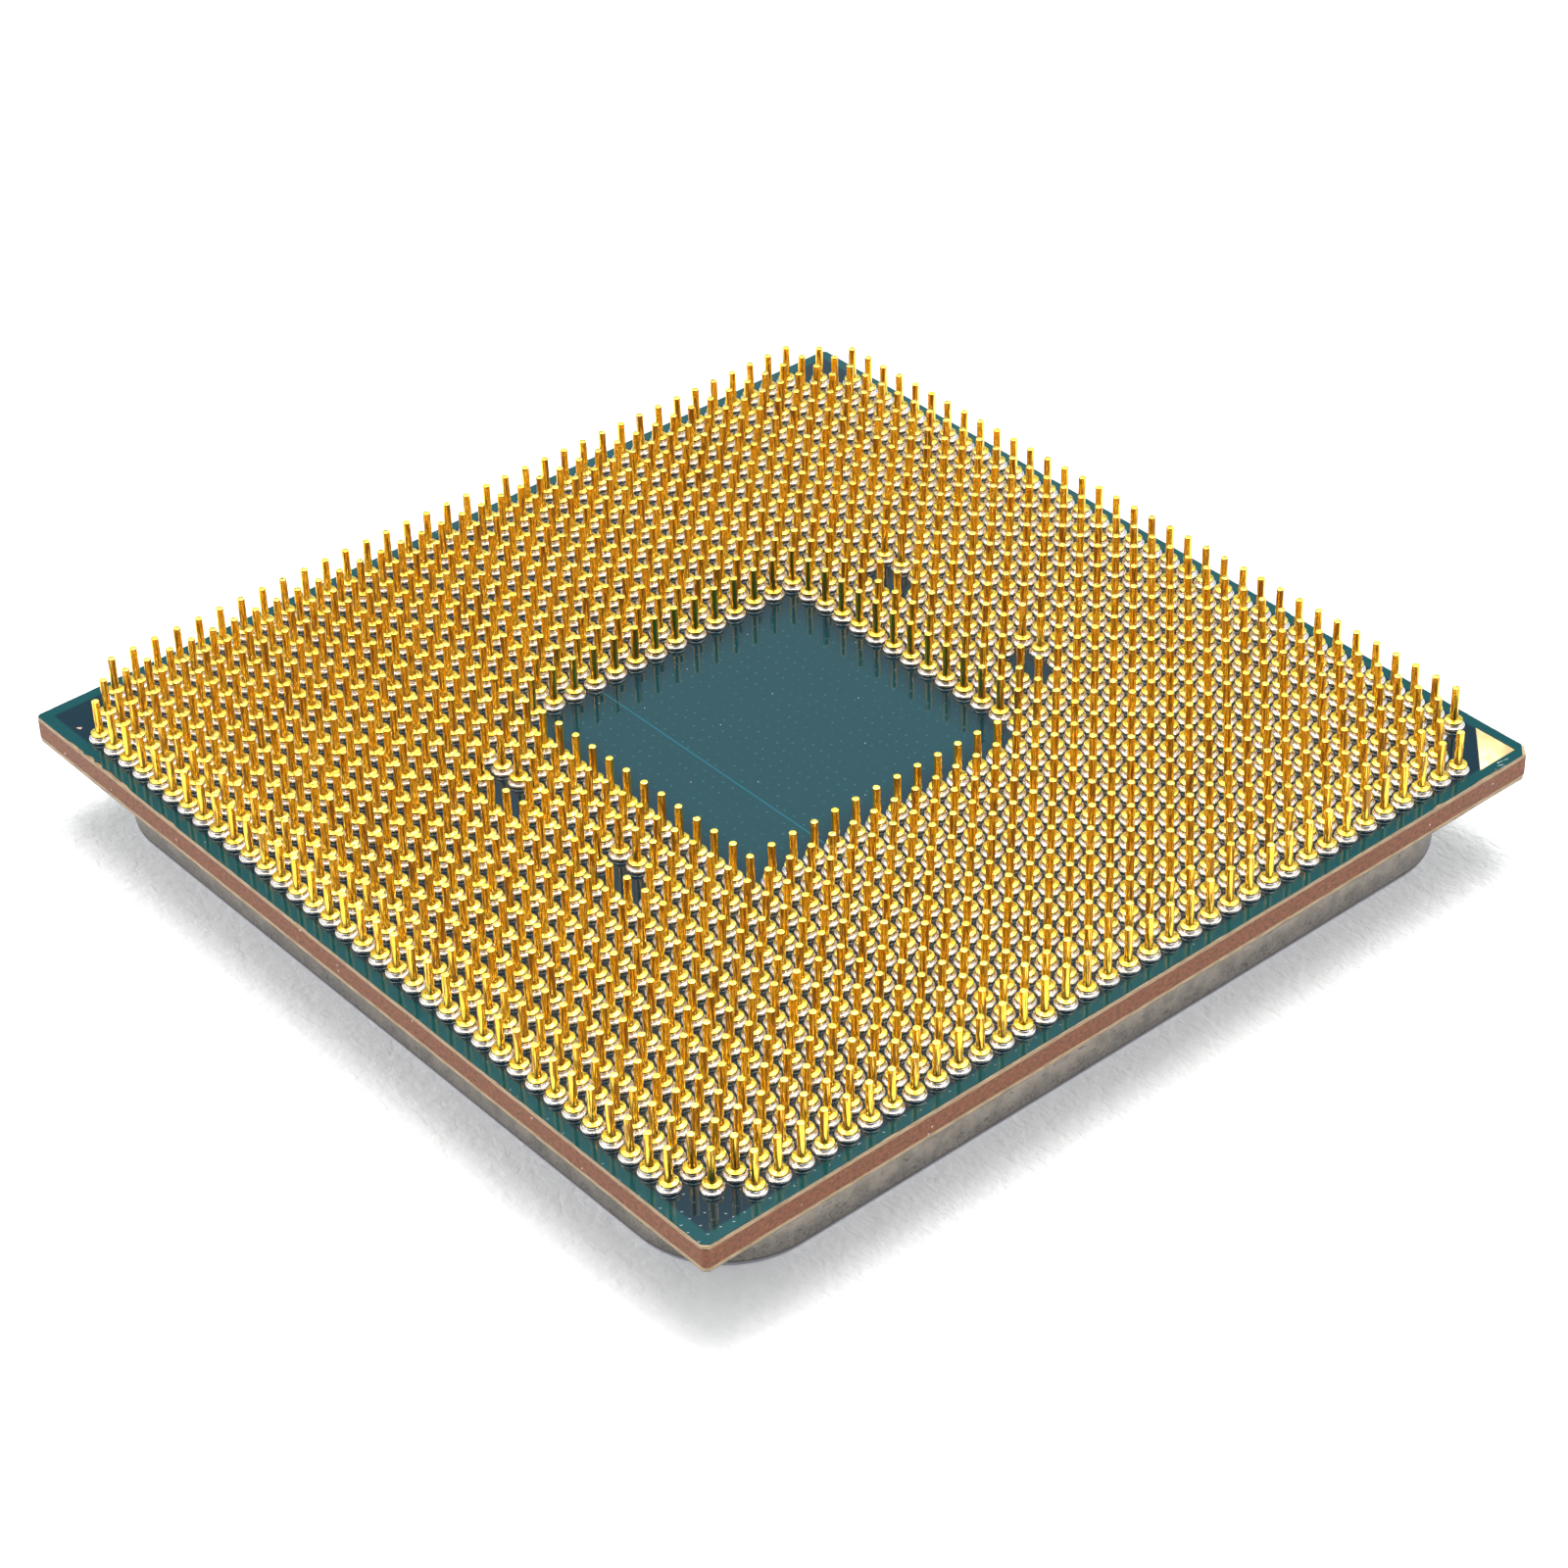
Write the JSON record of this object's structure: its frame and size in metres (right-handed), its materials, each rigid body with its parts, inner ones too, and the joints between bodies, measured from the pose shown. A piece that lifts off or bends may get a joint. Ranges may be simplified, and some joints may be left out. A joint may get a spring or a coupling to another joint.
{
  "type": "pin grid processor",
  "caption": "Square laminate processor package with a grid of gold pins round an empty centre well and a metal heat spreader on the other face.",
  "frame": {"origin": "centre of the heat spreader's flat outer face, the lowest point of the part as it lies in the picture", "axes": "+Z from the heat spreader to the pin tips; +X and +Y along the board's edges, with the gold marker in the +X +Y corner"},
  "size_m": [0.04, 0.04, 0.0059],
  "materials": {
    "pin_gold": "polished",
    "pin_solder": "satin",
    "copper": "satin",
    "core_laminate": "matte",
    "buildup_resin": "matte",
    "solder_mask": "gloss",
    "marker_gold": "satin",
    "nickel_plating": "satin",
    "sealant": "matte",
    "die_solder": "satin",
    "silicon": "polished",
    "underfill": "satin",
    "capacitor_ceramic": "matte",
    "capacitor_tin": "satin"
  },
  "bodies": {
    "root": {"buildup_lid_side": "buildup_resin", "buildup_pin_side": "buildup_resin", "capacitor_bodies": "capacitor_ceramic", "capacitor_end_caps": "capacitor_tin", "capacitor_solder": "pin_solder", "core_laminate": "core_laminate", "corner_marker_lid_side": "marker_gold", "corner_marker_pin_side": "marker_gold", "die_solder": "die_solder", "die_underfill": "underfill", "heat_spreader": "nickel_plating", "inner_plane_lid_side": "copper", "inner_plane_pin_side": "copper", "lid_adhesive": "sealant", "pin_joints_field_east": "pin_solder", "pin_joints_field_north": "pin_solder", "pin_joints_field_south": "pin_solder", "pin_joints_field_west": "pin_solder", "pin_joints_outer_row": "pin_solder", "pin_joints_well_row": "pin_solder", "pin_lands": "copper", "pins_field_east": "pin_gold", "pins_field_north": "pin_gold", "pins_field_south": "pin_gold", "pins_field_west": "pin_gold", "pins_outer_row": "pin_gold", "pins_well_row": "pin_gold", "processor_die": "silicon", "solder_mask_lid_side": "solder_mask", "solder_mask_pin_side": "solder_mask", "well_trace": "copper"}
  },
  "joints": []
}
